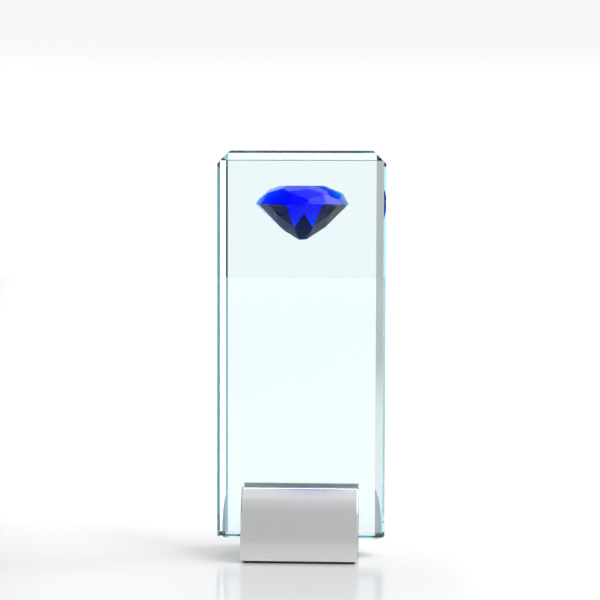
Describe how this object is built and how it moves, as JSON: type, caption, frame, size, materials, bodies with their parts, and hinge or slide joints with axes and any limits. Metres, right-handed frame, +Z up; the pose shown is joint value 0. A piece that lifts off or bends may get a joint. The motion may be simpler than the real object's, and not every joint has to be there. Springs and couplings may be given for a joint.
{
  "type": "crystal award",
  "caption": "Upright bevelled crystal plaque with a blue half-brilliant gem on its front, held in a slotted arched aluminium base.",
  "frame": {"origin": "centre of the face that the award rests on, under the middle of the base", "axes": "+Z up along the plaque's height, +X along the plaque's width to the right as seen from the front, -Y toward the front, where the gem is"},
  "size_m": [0.08, 0.0489, 0.1932],
  "materials": {
    "optical_glass": "polished, with a faint green-blue tint through its edges",
    "blue_crystal": "polished facets, deep blue",
    "clear_adhesive": "clear, cured",
    "satin_aluminium": "fine satin, nearly polished",
    "liner_vinyl": "translucent soft vinyl",
    "screw_steel": "dark machined steel",
    "foam": "matt closed-cell foam"
  },
  "bodies": {
    "root": {"crystal_plate": "optical_glass", "half_brilliant_gem": "blue_crystal", "gem_adhesive_film": "clear_adhesive", "base_block": "satin_aluminium", "slot_liner": "liner_vinyl", "grub_screw_left": "screw_steel", "grub_screw_right": "screw_steel", "foam_base_pad": "foam"}
  },
  "joints": []
}
